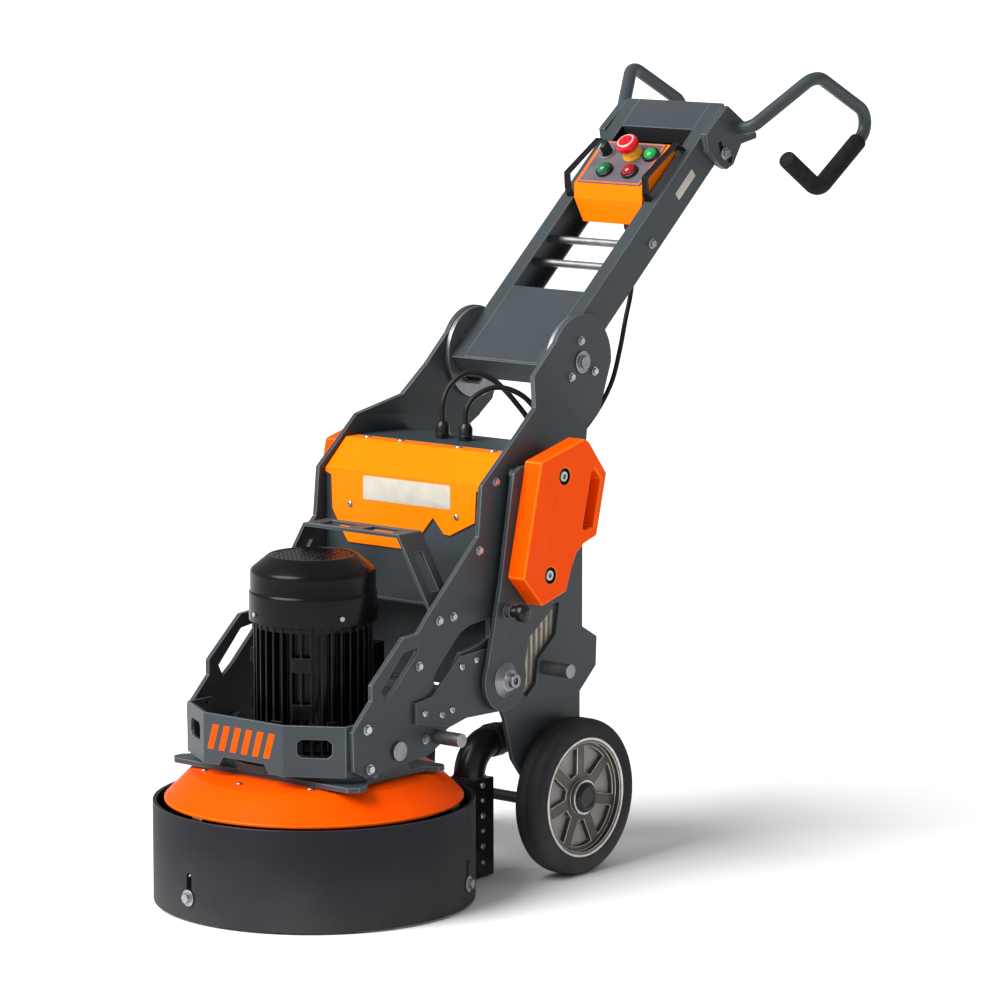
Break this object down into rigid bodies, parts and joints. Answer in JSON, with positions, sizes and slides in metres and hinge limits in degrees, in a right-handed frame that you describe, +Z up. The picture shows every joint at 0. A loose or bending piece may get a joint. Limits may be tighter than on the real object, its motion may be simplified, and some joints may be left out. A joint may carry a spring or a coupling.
{
  "type": "floor grinder",
  "caption": "Walk-behind planetary concrete floor grinder with an electric motor, dust skirt, swing weights, two wheels and a folding handle.",
  "frame": {"origin": "middle of the footprint, on the floor under the machine", "axes": "+Z up, -Y towards the grinding head, +Y towards the operator, +X to the right seen from the front"},
  "size_m": [0.4999, 1.4496, 1.2383],
  "materials": {
    "slate_paint": "satin powder coat",
    "orange_paint": "gloss powder coat",
    "black_paint": "satin black paint",
    "skirt_sheet": "dense charcoal rubber sheet",
    "zinc": "zinc plated",
    "machined_steel": "turned steel",
    "cast_rim": "cast aluminium, satin",
    "tyre_rubber": "matt tread rubber",
    "foam_grip": "foam grip",
    "black_plastic": "matt moulded",
    "cable_jacket": "smooth jacket",
    "beige_sink": "coated aluminium",
    "panel_grey": "satin panel",
    "red_plastic": "gloss",
    "dark_red_plastic": "gloss lens",
    "green_plastic": "gloss lens",
    "lamp_green": "gloss lens",
    "winding": "varnished winding",
    "diamond_shoe": "sintered segment"
  },
  "bodies": {
    "chassis": {"side_plate_left": "slate_paint", "side_plate_right": "slate_paint", "front_guard": "slate_paint", "lifting_bracket": "slate_paint", "cross_members": "slate_paint", "cabinet_shell": "slate_paint", "cabinet_cover": "orange_paint", "cabinet_lid": "slate_paint", "heat_sink": "beige_sink", "glands": "black_plastic", "axles_and_pins": "zinc", "frame_bolts": "zinc", "cabinet_cables": "cable_jacket", "control_cable": "cable_jacket"},
    "wheel_left": {"tyre_left": "tyre_rubber", "rim_left": "cast_rim", "hub_cap_left": "black_plastic"},
    "wheel_right": {"tyre_right": "tyre_rubber", "rim_right": "cast_rim", "hub_cap_right": "black_plastic"},
    "head": {"dome": "orange_paint", "head_plate": "slate_paint", "gearbox": "zinc", "motor_body": "black_paint", "fan_cover": "black_paint", "stator": "winding", "head_bolts": "zinc"},
    "skirt": {"skirt": "skirt_sheet", "dust_elbow": "black_paint"},
    "carrier": {"carrier": "machined_steel"},
    "rotor": {"rotor": "machined_steel"},
    "satellite_1": {"satellite_1": "machined_steel", "grinding_shoes_1": "diamond_shoe"},
    "satellite_2": {"satellite_2": "machined_steel", "grinding_shoes_2": "diamond_shoe"},
    "satellite_3": {"satellite_3": "machined_steel", "grinding_shoes_3": "diamond_shoe"},
    "handle": {"handle_rails": "slate_paint", "handle_covers": "slate_paint", "handle_hardware": "zinc", "control_box": "orange_paint", "control_gland": "black_plastic", "control_panel": "panel_grey", "panel_guards": "black_paint", "bar_brackets": "slate_paint", "pilot_lamp": "lamp_green"},
    "handlebar_left": {"handlebar_left": "slate_paint", "grip_left": "foam_grip"},
    "handlebar_right": {"handlebar_right": "slate_paint", "grip_right": "foam_grip"},
    "weight_left": {"weight_arm_left": "slate_paint", "weight_left": "orange_paint"},
    "weight_right": {"weight_arm_right": "slate_paint", "weight_right": "orange_paint"},
    "lock_knob_left": {"lock_knob_left": "black_plastic"},
    "lock_knob_right": {"lock_knob_right": "black_plastic"},
    "speed_dial": {"speed_dial": "black_plastic"},
    "stop_mushroom": {"stop_mushroom": "red_plastic"},
    "start_button": {"start_button": "green_plastic"},
    "stop_button": {"stop_button": "dark_red_plastic"}
  },
  "joints": [
    {"name": "wheel_left_spin", "type": "hinge", "parent": "chassis", "child": "wheel_left", "pos_m": [-0.207, -0.0875, 0.125], "axis": [1, 0, 0], "continuous": true},
    {"name": "wheel_right_spin", "type": "hinge", "parent": "chassis", "child": "wheel_right", "pos_m": [0.207, -0.0875, 0.125], "axis": [1, 0, 0], "continuous": true},
    {"name": "head_float", "type": "hinge", "parent": "chassis", "child": "head", "pos_m": [0, -0.4745, 0.254], "axis": [1, 0, 0], "range_deg": [-2, 2]},
    {"name": "skirt_height", "type": "slide", "parent": "head", "child": "skirt", "axis": [0, 0, 1], "range_m": [-0.02, 0]},
    {"name": "carrier_spin", "type": "hinge", "parent": "head", "child": "carrier", "pos_m": [0, -0.4745, 0.14], "axis": [0, 0, 1], "continuous": true},
    {"name": "rotor_spin", "type": "hinge", "parent": "head", "child": "rotor", "pos_m": [0, -0.4745, 0.3], "axis": [0, 0, 1], "continuous": true},
    {"name": "satellite_1_spin", "type": "hinge", "parent": "carrier", "child": "satellite_1", "pos_m": [0.12, -0.4745, 0.1], "axis": [0, 0, 1], "continuous": true},
    {"name": "satellite_2_spin", "type": "hinge", "parent": "carrier", "child": "satellite_2", "pos_m": [-0.06, -0.37058, 0.1], "axis": [0, 0, 1], "continuous": true},
    {"name": "satellite_3_spin", "type": "hinge", "parent": "carrier", "child": "satellite_3", "pos_m": [-0.06, -0.57842, 0.1], "axis": [0, 0, 1], "continuous": true},
    {"name": "handle_fold", "type": "hinge", "parent": "chassis", "child": "handle", "pos_m": [0, 0.0425, 0.798], "axis": [1, 0, 0], "range_deg": [-12, 80], "deforming": ["control_cable"]},
    {"name": "handlebar_left_tilt", "type": "hinge", "parent": "handle", "child": "handlebar_left", "pos_m": [-0.11, 0.4605, 1.148], "axis": [1, 0, 0], "range_deg": [-20, 20]},
    {"name": "weight_left_swing", "type": "hinge", "parent": "chassis", "child": "weight_left", "pos_m": [-0.19, -0.2385, 0.332], "axis": [1, 0, 0], "range_deg": [-33, 104]},
    {"name": "lock_knob_left_pull", "type": "slide", "parent": "weight_left", "child": "lock_knob_left", "axis": [-1, 0, 0], "range_m": [0, 0.008], "stiffness_N_per_m": 400, "springref_m": -0.01},
    {"name": "handlebar_right_tilt", "type": "hinge", "parent": "handle", "child": "handlebar_right", "pos_m": [0.11, 0.4605, 1.148], "axis": [1, 0, 0], "range_deg": [-20, 20]},
    {"name": "weight_right_swing", "type": "hinge", "parent": "chassis", "child": "weight_right", "pos_m": [0.19, -0.2385, 0.332], "axis": [1, 0, 0], "range_deg": [-33, 104]},
    {"name": "lock_knob_right_pull", "type": "slide", "parent": "weight_right", "child": "lock_knob_right", "axis": [1, 0, 0], "range_m": [0, 0.008], "stiffness_N_per_m": 400, "springref_m": -0.01},
    {"name": "speed_dial_turn", "type": "hinge", "parent": "handle", "child": "speed_dial", "pos_m": [-0.042, 0.30792, 1.10622], "axis": [0, -0.6494, 0.7604], "range_deg": [-140, 140]},
    {"name": "stop_mushroom_push", "type": "slide", "parent": "handle", "child": "stop_mushroom", "axis": [0, 0.6494, -0.7604], "range_m": [0, 0.005], "stiffness_N_per_m": 800, "springref_m": -0.004},
    {"name": "start_button_push", "type": "slide", "parent": "handle", "child": "start_button", "axis": [0, 0.6494, -0.7604], "range_m": [0, 0.003], "stiffness_N_per_m": 500, "springref_m": -0.003},
    {"name": "stop_button_push", "type": "slide", "parent": "handle", "child": "stop_button", "axis": [0, 0.6494, -0.7604], "range_m": [0, 0.003], "stiffness_N_per_m": 500, "springref_m": -0.003}
  ],
  "couplings": [
    {"joint": "rotor_spin", "follows": "carrier_spin", "ratio": 5.3333},
    {"joint": "satellite_1_spin", "follows": "carrier_spin", "ratio": -2.6},
    {"joint": "satellite_2_spin", "follows": "carrier_spin", "ratio": -2.6},
    {"joint": "satellite_3_spin", "follows": "carrier_spin", "ratio": -2.6}
  ]
}
